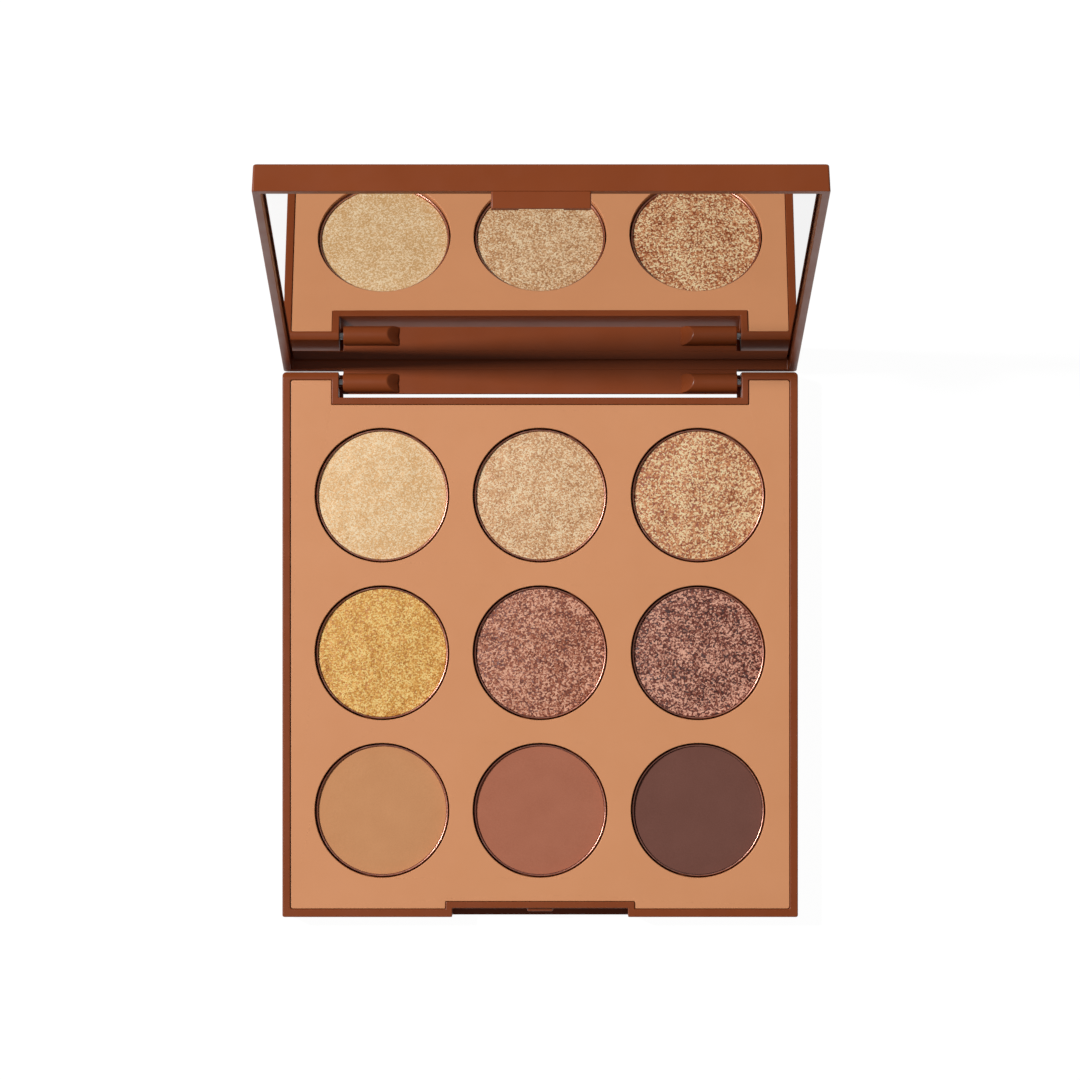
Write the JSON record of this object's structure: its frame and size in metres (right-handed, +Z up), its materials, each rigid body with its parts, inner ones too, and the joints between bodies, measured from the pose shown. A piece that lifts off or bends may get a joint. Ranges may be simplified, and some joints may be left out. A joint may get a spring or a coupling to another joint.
{
  "type": "eyeshadow palette",
  "caption": "Slim hinged make-up palette standing open: brown case, full-size mirror in the lid, tan insert framing round pans of pressed eyeshadow.",
  "frame": {"origin": "centre of the flat underside of the base", "axes": "+X to the user's right along the hinge, +Y from the front latch towards the hinge, +Z up from the surface it stands on"},
  "size_m": [0.104, 0.141, 0.1092],
  "materials": {
    "case_plastic": "satin moulded, chestnut brown",
    "insert_plastic": "fine satin moulded, warm tan",
    "glue": "hot-melt adhesive, matte",
    "pan_metal": "bright tinplate, drawn",
    "pin_steel": "ground steel wire",
    "mirror": "silvered glass with a ground edge",
    "tape": "double-sided foam tape",
    "powder_rear_left": "pressed mineral powder, champagne shimmer",
    "powder_rear_centre": "pressed mineral powder, peach gold shimmer",
    "powder_rear_right": "pressed mineral powder, copper gold glitter",
    "powder_middle_left": "pressed mineral powder, mustard gold shimmer",
    "powder_middle_centre": "pressed mineral powder, rose brown metallic shimmer",
    "powder_middle_right": "pressed mineral powder, mauve brown glitter",
    "powder_front_left": "pressed mineral powder, matte tan with a woven press texture",
    "powder_front_centre": "pressed mineral powder, matte terracotta",
    "powder_front_right": "pressed mineral powder, matte dark brown"
  },
  "bodies": {
    "base": {"base_shell": "case_plastic", "insert_plate": "insert_plastic", "glue_disc_rear_left": "glue", "glue_disc_rear_centre": "glue", "glue_disc_rear_right": "glue", "glue_disc_middle_left": "glue", "glue_disc_middle_centre": "glue", "glue_disc_middle_right": "glue", "glue_disc_front_left": "glue", "glue_disc_front_centre": "glue", "glue_disc_front_right": "glue", "pan_rear_left": "pan_metal", "pan_rear_centre": "pan_metal", "pan_rear_right": "pan_metal", "pan_middle_left": "pan_metal", "pan_middle_centre": "pan_metal", "pan_middle_right": "pan_metal", "pan_front_left": "pan_metal", "pan_front_centre": "pan_metal", "pan_front_right": "pan_metal", "powder_rear_left": "powder_rear_left", "powder_rear_centre": "powder_rear_centre", "powder_rear_right": "powder_rear_right", "powder_middle_left": "powder_middle_left", "powder_middle_centre": "powder_middle_centre", "powder_middle_right": "powder_middle_right", "powder_front_left": "powder_front_left", "powder_front_centre": "powder_front_centre", "powder_front_right": "powder_front_right", "hinge_pin_left": "pin_steel", "hinge_pin_right": "pin_steel"},
    "lid": {"lid_shell": "case_plastic", "mirror": "mirror", "mirror_adhesive": "tape"}
  },
  "joints": [
    {"name": "lid_hinge", "type": "hinge", "parent": "base", "child": "lid", "pos_m": [0, 0.05287, 0.00449], "axis": [1, 0, 0], "range_deg": [0, 103.49]}
  ]
}
